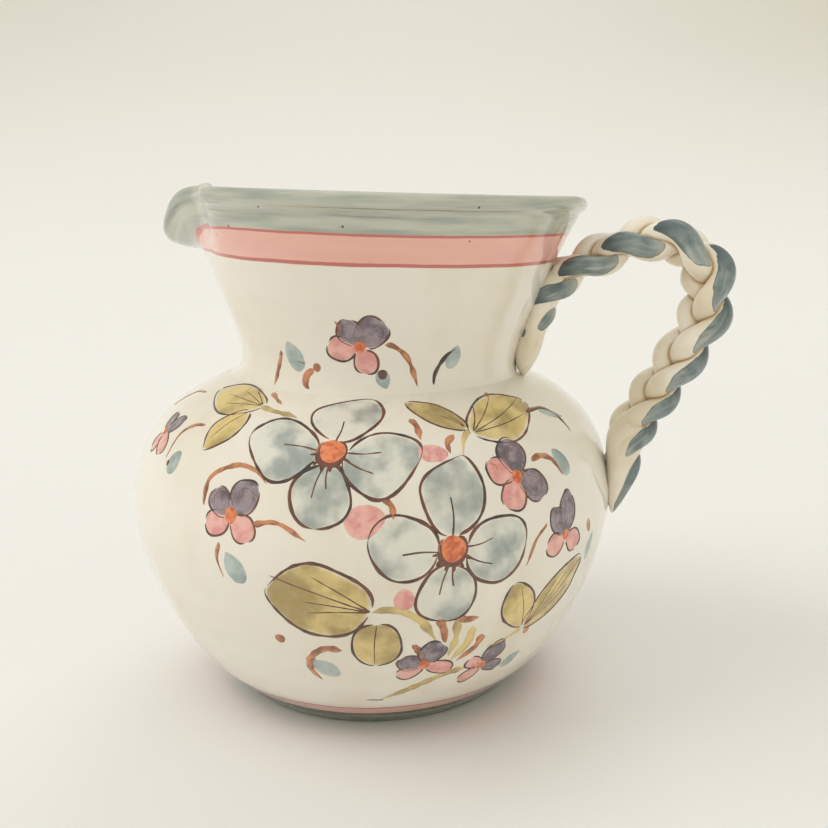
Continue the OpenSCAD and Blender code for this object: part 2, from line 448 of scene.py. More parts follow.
# %% Throw the bowl
def hand_thrown(place):
    """Where a point of a perfect thrown form really is."""
    turn = math.atan2(place.y, place.x)
    sway = noise.noise(Vector((math.cos(turn), math.sin(turn), place.z * 14)))
    rings = math.sin(place.z / (4.2 * MM) * math.pi + turn)
    grow = 0.45 * MM * sway + 0.05 * MM * rings
    out = Vector((place.x, place.y, 0))
    return place + out.normalized() * grow if out.length > 5 * MM else place


def keep_wheel_place(piece):
    """Store where each point is while the piece is still on the wheel."""
    store = piece.data.attributes.new(WHEEL, "FLOAT_VECTOR", "POINT")
    for vertex in piece.data.vertices:
        store.data[vertex.index].vector = vertex.co


def opening_follows_neck(place):
    """The bowl's opening was trimmed under the neck, which stands off centre."""
    share = min(max((52 * MM - math.hypot(place.x, place.y)) / (7 * MM), 0), 1)
    return place + Vector((NECK_SHIFT * share, 0, 0)) if place.z > 96 * MM else place


bowl = spin_line("bowl", bowl_line, 192)
keep_wheel_place(bowl)
for vertex in bowl.data.vertices:
    vertex.co = hand_thrown(opening_follows_neck(vertex.co))
finish_piece(bowl, "thrown_bowl", bowl_glaze, ("bowl",))

# %% [markdown]
# The foot was turned with a tool when the clay was leather-hard: a low ring with
# softened edges and a thin groove where it meets the bowl. It is spun like the bowl.

# %% Turn the foot
foot_line = [Vector(p) * MM for p in (
    (42.6, 0.9), (43.0, 0.3), (43.7, 0), (49.2, 0), (50.0, 0.3), (50.4, 0.9), (52.2, 3.0),
    (53.5, 4.4), (53.4, 5.2), (41.2, 5.2), (42.2, 2.6), (42.6, 0.9))]
foot = spin_line("foot", foot_line, 192)
keep_wheel_place(foot)
finish_piece(foot, "turned_foot", foot_glaze, ("foot_ring",))

# %% [markdown]
# The neck is a second thrown form, pressed onto the bowl; its base is smeared out over
# the shoulder. The lip was pulled from the soft rim with a wet finger: its middle goes
# out and down, its sides stay with the rim, and a fold stays on each side. Every point
# of the spun outline is therefore moved towards the outline through the lip's middle, by
# a share that depends on its bearing. The grey-green spreads down over the pink there,
# and the rim sags a little, most of all on the far side.

# %% Neck and lip outlines
LIP_HALF = math.radians(34)
LIP_PINCH = math.radians(36)
LIP_FOLD = math.radians(29)
LIP_BASE = 33 * MM
PINCH_DEPTH, FOLD_DEPTH, CREST = 7 * MM, 0.8 * MM, 0.9 * MM
neck_low = [Vector(p) * MM for p in (
    (53.5, -3.4), (50.4, -1.2), (48.6, 1.2), (47.5, 4.5), (48.2, 10), (50.4, 17),
    (54.2, 27), (56.3, 33))]
rim_side = [Vector(p) * MM for p in (
    (56.3, 33), (58.5, 39), (63, 49.5), (65.4, 55), (66.2, 56.2), (67.7, 57.4),
    (68.2, 58.8), (67.9, 60))]
lip_middle = [Vector(p) * MM for p in (
    (56.3, 33), (58.6, 36.2), (62.4, 38.1), (67, 38.8), (71, 39.2), (75.2, 40.2), (77.2, 41.5),
    (77.8, 43), (77.2, 44.6))]


def even_line(line, count):
    """The same line with its points spread evenly along its length."""
    lengths = [0.0]
    for here, there in zip(line, line[1:]):
        lengths.append(lengths[-1] + (there - here).length)
    spread, leg = [], 0
    for index in range(count):
        goal = lengths[-1] * index / (count - 1)
        while leg < len(line) - 2 and lengths[leg + 1] < goal:
            leg += 1
        share = (goal - lengths[leg]) / (lengths[leg + 1] - lengths[leg])
        spread.append(line[leg].lerp(line[leg + 1], min(share, 1)))
    return spread


LIP_ROWS = 46
HIDDEN_ROWS = 14
low_out = smooth_line(neck_low, 8)[:-1]
side_out = even_line(smooth_line(rim_side, 10), LIP_ROWS)
middle_out = even_line(smooth_line(lip_middle, 10), LIP_ROWS)


def neck_outline(share):
    """The neck's closed outline where the lip is pulled by this share."""
    pulled = [a.lerp(b, share) for a, b in zip(side_out, middle_out)]
    outer = low_out + pulled
    inner = inner_line(outer, NECK_WALL)
    return (outer + round_corner(outer[-1], inner[-1], 8) + inner[:HIDDEN_ROWS:-1]
            + [Vector((45, -4)) * MM] + outer[:1])

# %% Throw the neck and pull the lip
def lip_share(bearing):
    """How far the rim is pulled, from 0 at the lip's sides to 1 in its middle."""
    return math.cos(min(abs(bearing) / LIP_HALF, 1) * math.pi / 2) ** 3


def bump_at(value, middle, spread):
    """1 in the middle and fading to 0 on both sides."""
    return math.exp(-((value - middle) / spread) ** 2)


def on_pot(place):
    """From the wheel to the neck's place on the bowl."""
    lean = Matrix.Rotation(NECK_LEAN, 4, "Y")
    return lean @ place + Vector((NECK_SHIFT, 0, JOINT_H))


def nearest_finder(points):
    """A finder that gives the listed point nearest to a place, its index and distance."""
    finder = kdtree.KDTree(len(points))
    for index, point in enumerate(points):
        finder.insert(point.to_3d(), index)
    finder.balance()
    return finder


plain = neck_outline(0)
finder = nearest_finder(plain)
neck = spin_line("neck", plain, 288)
keep_wheel_place(neck)
outlines = {}
painted_at = neck.data.attributes[WHEEL].data
for vertex in neck.data.vertices:
    place = vertex.co.copy()
    bearing = math.atan2(place.y, -place.x)
    if abs(bearing) < 2 * LIP_PINCH:
        tag = round(abs(bearing), 4)
        if tag not in outlines:
            outlines[tag] = neck_outline(lip_share(bearing))
        wheel_spot = (math.hypot(place.x, place.y), place.z, 0)
        radius, height = outlines[tag][finder.find(wheel_spot)[1]]
        top = min(max((place.z - LIP_BASE) / (NECK_H - LIP_BASE), 0), 1) ** 1.4
        pinch = bump_at(abs(bearing), LIP_PINCH, 0.19) * (1 - lip_share(bearing))
        radius -= top * (PINCH_DEPTH * pinch
                         + FOLD_DEPTH * bump_at(abs(bearing), LIP_FOLD, 0.045))
        height += top * CREST * bump_at(-bearing, LIP_PINCH, 0.08)
        place = Vector((-radius * math.cos(bearing), radius * math.sin(bearing), height))
        spread = min(max((58 - abs(math.degrees(bearing))) / 46, 0), 1)
        if vertex.co.z > (PINK_LOW + 1.3) * MM:
            gap = max((PINK_HIGH + 0.8) * MM - vertex.co.z, 0)
            painted_at[vertex.index].vector = vertex.co + Vector((0, 0, gap * spread))
    sag = (1 + 2.6 * max(place.y / RIM_R, -0.2)) * (1 - lip_share(bearing))
    place.z -= sag * MM * min(max(vertex.co.z / NECK_H, 0), 1) ** 3
    vertex.co = on_pot(hand_thrown(place))
finish_piece(neck, "neck_and_lip", neck_glaze, ("neck", "pouring_lip"))

# %% [markdown]
# The handle is a plait of three ropes of clay, rolled out on the bench. It starts as a
# tail pressed down the neck, climbs away under the rim, turns over at its far end and
# comes down onto the bowl. Lists say, at distances in millimetres along it, how far the
# plait has run, how thick it is and how much it is tilted.

# %% Line of the handle
HANDLE = [Vector(p) * MM for p in (
    (52.8, 108), (54.4, 115), (56.8, 125), (60.2, 134.2), (65.8, 140.5), (72.8, 144.5),
    (80.6, 148.4), (90, 151.9), (101, 151.4), (109.2, 146), (112.4, 137), (110.8, 126.5),
    (105, 115.6), (98.8, 105), (92.4, 95), (88.2, 86), (86.4, 76), (85.2, 68), (84.2, 60.5))]
ROPE_RINGS, ROPE_SIDES = 280, 24
STRAND_R, SWING, DEPTH = 3.9 * MM, 5.5 * MM, 3.0 * MM
CROSSINGS = ((0, -700), (17, -575), (29, -455), (45, -335), (61, -215), (77.5, -95),
             (92.5, 25), (105, 145), (121.5, 265), (135.5, 385), (148, 505), (160, 600),
             (178, 650))
GIRTH = ((0, 0.35), (12, 0.7), (30, 0.86), (50, 0.88), (65, 0.95), (80, 1.03), (105, 1),
         (120, 0.97), (140, 0.93), (155, 0.84), (167, 0.6), (178, 0.15))
TILT = ((0, -10), (35, -20), (62, -18), (85, 24), (100, 32), (172, 30))
handle_line = even_line(smooth_line(HANDLE, 14), ROPE_RINGS)
handle_step = (handle_line[1] - handle_line[0]).length / MM


def along(knots, distance):
    """A listed value at a distance in millimetres along the handle, eased between knots."""
    total = 0
    for ease in (-5, -2.5, 0, 2.5, 5):
        here = min(max(distance + ease, knots[0][0]), knots[-1][0])
        for (start, low), (end, high) in zip(knots, knots[1:]):
            if start <= here <= end:
                total += (low + (high - low) * (here - start) / (end - start)) / 5
                break
    return total


def direction(line, index):
    step = line[min(index + 1, len(line) - 1)] - line[max(index - 1, 0)]
    return step.normalized()


def strand_middle(index, start):
    """Middle of one rope: it goes over and under while it crosses to the other side."""
    way, place, distance = direction(handle_line, index), handle_line[index], index * handle_step
    run = math.radians(along(CROSSINGS, distance) - start)
    tilt, girth = math.radians(along(TILT, distance)), along(GIRTH, distance)
    over, side = girth * DEPTH * math.sin(2 * run), girth * SWING * math.sin(run)
    out = over * math.cos(tilt) - side * math.sin(tilt)
    side = over * math.sin(tilt) + side * math.cos(tilt)
    return Vector((place.x - out * way.y, side, place.y + out * way.x))


print("handle line", round(handle_step * (ROPE_RINGS - 1)), "mm long")

# %% [markdown]
# Soft clay is squashed where it meets the wall, so points of the handle that would lie
# deep in it are pushed back to just under the skin of the neck or the bowl.

# %% Press clay onto the pot
neck_skin = smooth_line(neck_low + rim_side[1:3], 6)
SINK = 1.2 * MM


def pushed_out(place, skin):
    """Keep a point from lying deeper than SINK under a turned skin."""
    radius = math.hypot(place.x, place.y)
    spot = Vector((radius, place.z))
    index = min(range(len(skin)), key=lambda i: (skin[i] - spot).length_squared)
    way = direction(skin, index)
    out = Vector((way.y, -way.x))
    depth = (spot - skin[index]).dot(out)
    if depth > -SINK or (spot - skin[index]).length > 14 * MM:
        return place
    spot = spot - out * (depth + SINK)
    return Vector((place.x * spot.x / radius, place.y * spot.x / radius, spot.y))


def pressed_on_pot(place):
    wheel = Matrix.Rotation(-NECK_LEAN, 4, "Y") @ (place - Vector((NECK_SHIFT, 0, JOINT_H)))
    if wheel.z > 0:
        return on_pot(pushed_out(wheel, neck_skin))
    return pushed_out(place, belly)

# %% [markdown]
# A slate-coloured dash was brushed on each bend of the plait that faces the painter.
# Each point of a rope keeps three numbers for the glaze: how far inside a dash it lies,
# how far along that dash, and how deep in the groove beside the next rope, where the glaze
# is painted amber, both for glaze that pooled there and as painted shade in the groove.
# It also keeps its place on the straight rope, for the brush streaks.

# %% Glaze of the handle
PAINT_AND_SHADE, ROPE = "rope_paint_and_groove_shade", "rope_place"


def number(tree, name):
    return put(tree, "Attribute", {"attribute_name": name}).outputs["Fac"]


def numbers(tree, name):
    """The three numbers that each point of a piece keeps under this name."""
    stored = put(tree, "Attribute", {"attribute_name": name}).outputs["Vector"]
    return put(tree, "SeparateXYZ", Vector=stored).outputs


handle_glaze, tree, place = new_glaze("handle_glaze")
inside, onward, deep = numbers(tree, PAINT_AND_SHADE)
straight = put(tree, "Attribute", {"attribute_name": ROPE}).outputs["Vector"]
brush = put(tree, "Mapping", Vector=straight, Scale=(2200, 2200, 90)).outputs[0]
streak = spotted(tree, brush, 1, 3)
edge = calc(tree, "ADD", inside,
            calc(tree, "MULTIPLY", calc(tree, "SUBTRACT", streak, 0.5), 26))
slate = blend(tree, fade(tree, spotted(tree, place, 150, 3), 0.35, 0.65),
              tint(96, 114, 118), tint(140, 153, 152))
slate = blend(tree, fade(tree, streak, 0.45, 0.75), slate, tint(172, 178, 170))
slate = blend(tree, fade(tree, onward, 0.1, -0.9), slate, tint(74, 90, 96))
slate = blend(tree, calc(tree, "MULTIPLY", fade(tree, onward, 0.2, 1), 0.65), slate,
              tint(188, 190, 180))
slate = blend(tree, fade(tree, edge, 9, 1), slate, tint(80, 94, 98))
colour = blend(tree, fade(tree, spotted(tree, place, 60, 3), 0.35, 0.75),
               tint(246, 239, 224), tint(231, 219, 194))
# Amber in the grooves between ropes: pooled glaze, and painted shade where the ropes meet.
colour = blend(tree, fade(tree, deep, 0.2, 1), colour, tint(204, 174, 132))
colour = blend(tree, fade(tree, edge, -2, 4), colour, slate)
glass_over(tree, place, colour)

# %% [markdown]
# A rope of clay is drawn out straight: a disc extruded ring by ring. Then each ring is
# carried to its place along the handle. The dashes sit where a rope is nearest to the
# painter; lists say where along a crossing that is, and on which side of the rope, in
# degrees. The first millimetres, the drip on the neck, have none.

# %% Plait the three ropes
PAINTED_SIDE = ((0, 125), (28, 115), (45, 84), (60, 78), (75, 62), (90, 35), (160, 32),
                (178, 45))
DASH_AT = ((0, -92), (60, -92), (80, -96), (100, -103), (178, -103))
DASH_HALF, DASH_WIDE, UNPAINTED = 66, 80, -90
DRIP, GROOVE = 12, 1.5 * MM


def straight_rope(rings):
    """A closed round rope of rings, one millimetre apart, standing on the origin."""
    start_fresh()
    bpy.ops.mesh.primitive_circle_add(vertices=ROPE_SIDES, radius=MM, fill_type="NGON")
    bpy.ops.object.mode_set(mode="EDIT")
    for ring in range(rings - 1):
        bpy.ops.mesh.extrude_region_move(TRANSFORM_OT_translate={"value": (0, 0, MM)})
    turn_outward()
    return bpy.context.object


def lay_rope(name, node, rings, laid):
    """Move a rope's points to laid(ring, turn), which also gives their paint and groove-shade
    numbers.
    """
    piece = straight_rope(rings)
    for attribute in (PAINT_AND_SHADE, ROPE):
        piece.data.attributes.new(attribute, "FLOAT_VECTOR", "POINT")
    paint, rope = piece.data.attributes[PAINT_AND_SHADE].data, piece.data.attributes[ROPE].data
    for vertex in piece.data.vertices:
        ring, turn = round(vertex.co.z / MM), math.atan2(vertex.co.y, vertex.co.x)
        rope[vertex.index].vector = vertex.co
        place, paint[vertex.index].vector = laid(ring, turn)
        vertex.co = pressed_on_pot(place)
    bpy.ops.object.mode_set(mode="EDIT")
    turn_outward()
    finish_piece(piece, name, handle_glaze, (node,))


STARTS = (0, 120, 240)
middles = {start: [strand_middle(index, start) for index in range(ROPE_RINGS)]
           for start in STARTS}
rope_r = [STRAND_R * along(GIRTH, index * handle_step) for index in range(ROPE_RINGS)]


def wrapped(angle):
    return (angle + 180) % 360 - 180


def plait_strand(count, start):
    others = nearest_finder([middle for other in STARTS if other != start
                             for middle in middles[other]])
    frames = []
    for ring in range(ROPE_RINGS):
        distance = ring * handle_step
        way = direction(middles[start], ring)
        flat = direction(handle_line, ring)
        out = Vector((-flat.y, 0, flat.x))
        out = (out - out.dot(way) * way).normalized()
        past = wrapped(along(CROSSINGS, distance) - start - along(DASH_AT, distance))
        frames.append((out, way.cross(out), past / DASH_HALF, along(PAINTED_SIDE, distance)))

    def laid(ring, turn):
        out, side, past, painted = frames[ring]
        lumpy = 1 + 0.06 * noise.noise(Vector((start, ring * handle_step * 0.12, turn)))
        end = min(ring, ROPE_RINGS - 1 - ring) * handle_step
        radius = rope_r[ring] * lumpy * (min(1, math.sqrt(end / 4)) if end else 0.05)
        place = middles[start][ring] + radius * (math.cos(turn) * out + math.sin(turn) * side)
        inside = (DASH_WIDE * (1 - abs(past) ** 2.2)
                  - abs(wrapped(math.degrees(turn) - painted)))
        if ring * handle_step < DRIP:
            inside = UNPAINTED
        # How deep the point lies in the groove beside the next rope; the glaze paints amber shade
        # there.
        _, index, gap = others.find(place)
        deep = min(max(1 - (gap - rope_r[index % ROPE_RINGS]) / GROOVE, 0), 1)
        return place, (inside, past, deep)

    lay_rope(f"clay_rope_{count}", f"handle_strand_{count}", ROPE_RINGS, laid)


for count, start in enumerate(STARTS, 1):
    plait_strand(count, start)

# %% [markdown]
# At both ends the ropes were smeared together and pressed flat with a thumb. Each end is
# one more rope with its own width and thickness along its way.

# %% Press the two ends of the handle
UPPER_END = [Vector(p) * MM for p in (
    (69, 142.6, 3.6, 4.2), (64, 138.8, 4.6, 6), (59.6, 132.6, 5, 6.8), (56.6, 124, 5, 7),
    (54.4, 115, 4.2, 6), (53, 106.5, 1.6, 2.4))]
LOWER_END = [Vector(p) * MM for p in (
    (93, 96, 4.6, 5), (88.4, 87, 6.4, 7.2), (86, 77, 4.6, 7.6), (84.6, 68, 3, 5.2),
    (84, 59.5, 0.8, 1.4))]
END_RINGS = 72


def press_end(name, sections, node):
    places = even_line(smooth_line(sections, 12), END_RINGS)
    line = [Vector((p.x, p.y)) for p in places]

    def laid(ring, turn):
        way, (x, z, thick, wide) = direction(line, ring), places[ring]
        end = min(ring, END_RINGS - 1 - ring) / 10
        shrink = math.sqrt(1 - (1 - min(end, 0.998)) ** 2) if end < 1 else 1
        smear = 1 + 0.09 * noise.noise(Vector((x / MM * 0.12, turn, z / MM * 0.12)))
        out = thick * math.cos(turn) * smear * shrink
        place = Vector((x - out * way.y, wide * math.sin(turn) * smear * shrink, z + out * way.x))
        # The pressed ends have no dash, and only a faint, even trace of the amber groove shade.
        return place, (UNPAINTED, 0, 0.25)

    lay_rope(name, node, END_RINGS, laid)


press_end("upper_handle_end", UPPER_END, "upper_handle_root")
press_end("lower_handle_end", LOWER_END, "lower_handle_terminal")

# %% [markdown]
# The flowers were painted with a full brush that left each mark a little proud of the
# glaze. So each mark is a thin skin of its own, laid on the pot by bearing, in degrees
# from the front, and by arc, the distance up the outline in millimetres. Its middle is
# lifted a tenth of a millimetre, and its border dips under the glaze.

# %% Laying marks on the turned skins
LIFT, STROKE_LIFT, DIP = 0.1 * MM, 0.18 * MM, 0.03 * MM
neck_outside = [p for p in low_out if p.y >= 0] + side_out


def turned_skin(outline, fitted):
    """Functions that lay (bearing, arc, lift) on an outline and give its radius."""
    arcs = [0.0]
    for here, there in zip(outline, outline[1:]):
        arcs.append(arcs[-1] + (there - here).length / MM)

    def spot(arc):
        index = min(max(bisect.bisect(arcs, arc) - 1, 0), len(outline) - 2)
        share = (arc - arcs[index]) / (arcs[index + 1] - arcs[index])
        return outline[index].lerp(outline[index + 1], share), index

    def lay(bearing, arc, lift):
        place, index = spot(arc)
        way = direction(outline, index)
        place = place + lift * Vector((way.y, -way.x))
        turn = math.radians(bearing)
        return fitted(Vector((place.x * math.sin(turn), -place.x * math.cos(turn), place.y)))

    return lay, lambda arc: spot(arc)[0].x / MM


BOWL = turned_skin(belly, hand_thrown)
NECK = turned_skin(neck_outside, lambda place: on_pot(hand_thrown(place)))


def at(anchor, x, y, lift):
    """A point x mm to the right of an anchor (skin, bearing, arc) and y mm above it."""
    (lay, radius), bearing, arc = anchor
    return lay(bearing + math.degrees(x / radius(arc + y)), arc + y, lift)

# %% [markdown]
# Two kinds of mark are enough. A wash is a disc pressed into a petal, a leaf or a drop;
# its border is where the watery colour runs out. A stroke is a narrow ribbon that
# swells and thins as the brush is pressed and lifted.

# %% Washes and strokes
marks = {}


def lay_mark(anchor, paint, columns, rows, laid):
    """Lay a grid on the pot: laid(u, v) gives x, y, the lift and the way to the border."""
    start_fresh()
    bpy.ops.mesh.primitive_grid_add(x_subdivisions=columns, y_subdivisions=rows, size=2)
    piece = bpy.context.object
    store = piece.data.attributes.new(WASH, "FLOAT", "POINT")
    for vertex in piece.data.vertices:
        x, y, lift, store.data[vertex.index].value = laid(vertex.co.x, vertex.co.y)
        vertex.co = at(anchor, x, y, lift)
    marks.setdefault(paint, []).append(piece)


def petal(turn, start, length, width, point=0.0, bend=0.0, egg=0.12, wave=0.0):
    """Shape of a petal that grows from the anchor: turn is clockwise from straight up."""
    c, s = math.cos(math.radians(turn)), math.sin(math.radians(turn))

    def shape(p, q):
        ripple = 1 + wave * math.sin(4 * math.atan2(p, q) + turn) * (p * p + q * q)
        x = p * width / 2 * (1 + egg * q) * (1 - point * max(q, 0) ** 2) * ripple
        x += bend * max(q, 0) ** 2
        y = start + length / 2 * (1 + q * ripple)
        return x * c + y * s, y * c - x * s
    return shape


def wash(anchor, shape, paint, cells=18, layer=0.0):
    """A disc pressed into a shape and laid on the pot."""
    def laid(u, v):
        p, q = u * math.sqrt(1 - v * v / 2), v * math.sqrt(1 - u * u / 2)
        edge = min(p * p + q * q, 1)
        lift = (LIFT + layer * MM) * (1 - edge**4) - DIP * edge**4
        return *shape(p, q), lift, 1 - math.sqrt(edge)

    lay_mark(anchor, paint, cells, cells, laid)


def stroke(anchor, points, width, paint, fade_out=0.35):
    """A ribbon through (x, y) points that swells, thins and wobbles like a brush line."""
    line = smooth_line([Vector(p) for p in points], 8)
    long = sum((b - a).length for a, b in zip(line, line[1:]))
    line = even_line(line, max(int(long / 0.8), 6))

    def laid(u, side):
        share = (u + 1) / 2
        index = round(share * (len(line) - 1))
        way, here = direction(line, index), line[index]
        shape = min(1, 0.25 + share / 0.12) * min(1, 0.12 + (1 - share) / fade_out)
        wobble = 1 + 0.55 * noise.noise(Vector((here.x * 0.35, here.y * 0.35, anchor[1])))
        half = width * 0.68 * shape * wobble * side
        lift = -DIP if abs(side) > 0.5 or index in (0, len(line) - 1) else STROKE_LIFT
        return here.x - way.y * half, here.y + way.x * half, lift, 1 - abs(side)

    lay_mark(anchor, paint, len(line) - 1, 2, laid)


def stem(skin, bearing, arc, width, *points):
    stroke((skin, bearing, arc), points, width, "stem")


def outline(anchor, shape, start, end, width, paint="outline"):
    """A brush line along part of a shape's border, in degrees round from its base."""
    turns = [math.radians(start + (end - start) * step / 12) for step in range(13)]
    stroke(anchor, [shape(-math.sin(t), -math.cos(t)) for t in turns], width, paint, 0.2)


def ray(anchor, turn, start, end, width, paint="outline", curl=0.0):
    """A vein: a short stroke outwards from the anchor."""
    c, s = math.cos(math.radians(turn)), math.sin(math.radians(turn))
    middle = (start + end) / 2
    stroke(anchor, [(start * s, start * c), (middle * s + curl * c, middle * c - curl * s),
                    (end * s, end * c)], width, paint, 0.25)

# %% [markdown]
# The colours are watery: a wash shows the cream glaze through it and gathers in darker
# pools, and it runs out unevenly at its border. One recipe mixes each of them.

# %% Paint glazes
WASH = "wash"


def paint_glaze(name, pale, deep, cover, ragged, spots):
    """A painted glaze: pigment pooled over cream, running out at its border."""
    glaze, tree, place = new_glaze(name)
    pools = spotted(tree, place, spots, 3, 0.55)
    fine = spotted(tree, place, spots * 5, 2)
    pigment = blend(tree, fade(tree, pools, 0.38, 0.66), pale, deep)
    border = calc(tree, "ADD", number(tree, WASH),
                  calc(tree, "MULTIPLY", calc(tree, "SUBTRACT", pools, 0.5), ragged))
    share = fade(tree, border, 0.0, 0.02 + ragged * 0.3)
    thin = calc(tree, "ADD", cover, calc(tree, "MULTIPLY", fine, 1 - cover))
    glass_over(tree, place, blend(tree, calc(tree, "MULTIPLY", share, thin), cream(tree, place),
                                  pigment))
    return glaze


PAINTS = {}
for paint, slot, pale, deep, cover, ragged, spots in (
    ("blue", "blue_petal_glaze", (224, 224, 214), (142, 154, 151), 0.75, 0.35, 75),
    ("drop", "blue_petal_glaze", (182, 195, 191), (132, 152, 154), 0.85, 0.3, 110),
    ("purple", "purple_petal_glaze", (146, 130, 142), (82, 66, 84), 0.85, 0.2, 240),
    ("pink", "pink_glaze", (238, 172, 162), (216, 128, 126), 0.7, 0.25, 260),
    ("leaf", "leaf_glaze", (226, 200, 124), (164, 138, 66), 0.8, 0.35, 80),
    ("stem", "stem_glaze", (206, 132, 84), (138, 74, 36), 0.9, 0.2, 240),
    ("outline", "outline_glaze", (112, 62, 42), (42, 32, 32), 0.97, 0.1, 90),
    ("orange", "orange_glaze", (238, 140, 88), (196, 84, 36), 0.95, 0.2, 420)):
    PAINTS[paint] = paint_glaze(f"{paint}_paint", tint(*pale), tint(*deep), cover, ragged,
                                spots), slot

# %% [markdown]
# The flowers themselves. A big flower has four wide petals with a pointed end, dark
# veins and an orange heart. A pansy has two purple petals above and two pink ones
# below. Leaves have a fan of veins, and drops fill the gaps.

# %% Flowers, leaves and drops
def big_flower(anchor, petals):
    for turn, length, width, point, bend, veins in petals:
        shape = petal(turn, 4, length, width, point, bend, wave=0.03)
        wash(anchor, shape, "blue", 26)
        outline(anchor, shape, 12, 185, 0.75)
        outline(anchor, shape, 350, 178, 0.9)
        for away, reach in veins:
            ray(anchor, turn + away, 4 + length * reach, 3.6, 0.9, curl=0.5)
    wash(anchor, petal(200, -4.3, 9.6, 9), "outline", 12, 0.02)
    for turn in (118, 150, 178, 204, 232, 262):
        ray(anchor, turn, 3.6, 6.6, 1.1)
    wash(anchor, petal(20, -3.9, 8.4, 8), "orange", 14, 0.12)
    ring = petal(0, -4.3, 8.6, 8.4)
    outline(anchor, ring, 200, 420, 0.9)
    outline(anchor, ring, 80, 150, 0.7, "stem")


def small_petal(anchor, turn, start, length, width, paint, layer=0.0):
    shape = petal(turn, start, length, width, 0.05, wave=0.04)
    wash(anchor, shape, paint, 14, layer)
    outline(anchor, shape, 25, 200, 0.6)
    outline(anchor, shape, 330, 215, 0.5)
    if paint == "purple":
        inner = petal(turn + 4, start + 1.5, length * 0.66, width * 0.62)
        outline(anchor, inner, 30, 300, 0.4)


def pansy(anchor, purples, pinks, heart=1.0):
    for turn, length, width in pinks:
        small_petal(anchor, turn, 0.8, length, width, "pink")
    for turn, length, width in purples:
        small_petal(anchor, turn, 0.6, length, width, "purple", 0.04)
    wash(anchor, petal(0, -2.3 * heart, 4.6 * heart, 3.8 * heart), "orange", 10, 0.14)
    for turn in (-50, 10, 70):
        ray(anchor, turn, 0.3, 3.6 * heart, 0.7, "stem")


def leaf(anchor, turn, length, width, veins, point=0.45, bend=0.0, line=0.7):
    shape = petal(turn, 0, length, width, point, bend, 0.05, 0.04)
    wash(anchor, shape, "leaf", 22)
    outline(anchor, shape, 8, 182, line)
    outline(anchor, shape, 352, 186, line)
    for away, reach in veins:
        ray(anchor, turn + away, 0.5, length * reach, line * 0.85, curl=0.4)


def drop(anchor, turn, length, width, paint="drop", point=0.5):
    wash(anchor, petal(turn, -length / 2, length, width, point, 0, -0.1), paint, 14)


# %% [markdown]
# Now the brush goes round the pot. Each line below is one painted thing, placed by
# skin, bearing and arc.

# %% Painting on the neck
heart = (NECK, 7.5, 15.9)
pansy(heart, ((-30, 9.5, 8), (36, 11, 10)), ((-98, 9.5, 8.4), (160, 8.5, 7.4)))
stroke(heart, ((-7, 3), (-5.6, 5.4), (-7.4, 8.6)), 1.3, "stem")
stroke(heart, ((7.5, 1.2), (10.5, 0.4), (14.4, -3.6), (17.6, -12.6)), 1.6, "stem")
drop((NECK, 15.9, 5.6), 160, 6.5, 4.6)
wash((NECK, 15.6, 7), petal(0, -1.7, 3.4, 3.2), "outline", 10, 0.08)
drop((NECK, -18.3, 11.2), -20, 11, 6.8)
ray((NECK, -17.6, 9.6), 100, 0, 3.4, 0.6)
stem(NECK, -24, 12.4, 1.5, (0, 0), (-1.6, -4), (-3, -8), (-3.2, -12))
wash((NECK, -9.1, 8.1), petal(0, -1.5, 3, 2.8), "stem", 10)
stem(NECK, -9.5, 7.6, 1.7, (-0.6, 0), (-3.2, -2.2), (-3.4, -5), (-1.8, -6.6))
drop((NECK, 42, 12.4), 10, 8.5, 5.4)
stroke((NECK, 34.8, 3.6), ((0, 0), (0.6, 4), (3, 8.6), (6.6, 12)), 1.3, "outline")

# %% Painting on the shoulder
leaf((BOWL, -20.4, 119.5), -86, 27, 15, ((-12, 0.62), (2, 0.74), (18, 0.55), (34, 0.4)), 0.2)
leaf((BOWL, -23, 116), 204, 18.5, 11, ((4, 0.82),), 0.6)
stroke((BOWL, -20.2, 119.3), ((-1, 0), (5, -1.6), (11, -2.6), (15, -4)), 1.6, "leaf")
stem(BOWL, -22.3, 125, 1.1, (0, 1.5), (3.4, -1), (8, -4))
pansy((BOWL, -51, 99.7), ((44, 9, 6), (-28, 7.5, 5)), ((130, 9.5, 6), (196, 7.5, 5)), 0.7)
stem(BOWL, -34, 107, 1.1, (0, 0), (-5, -1), (-9.6, -5.5), (-9.8, -14.5))
stem(BOWL, -55, 118, 1.0, (0, 0), (-8, -2.4), (-13, -12))
drop((BOWL, -37.2, 92.6), 20, 8.5, 6.6, point=0.1)
wash((BOWL, -39.4, 91.6), petal(0, -1, 2.2, 1.8), "outline", 8, 0.08)

leaf((BOWL, 40, 108.5), -42, 19, 9, ((0, 0.5), (12, 0.4)), 0.1)
leaf((BOWL, 41, 106.5), 70, 28, 19, ((-42, 0.45), (-24, 0.72), (-2, 1.0), (12, 0.84)), 0.15, 1)
stroke((BOWL, 40, 108), ((0.5, 0), (-2.6, -3), (-5.2, -8.5)), 2.6, "leaf", 1.4)
stroke((BOWL, 62, 110), ((0, 0), (4.5, 0.4), (9.5, -0.6), (13.6, -5), (14.6, -12)), 1.5, "outline")
drop((BOWL, 71.5, 106.5), 120, 11, 3.6)
wash((BOWL, 56, 121.5), petal(50, -1.5, 3, 2), "stem", 8)

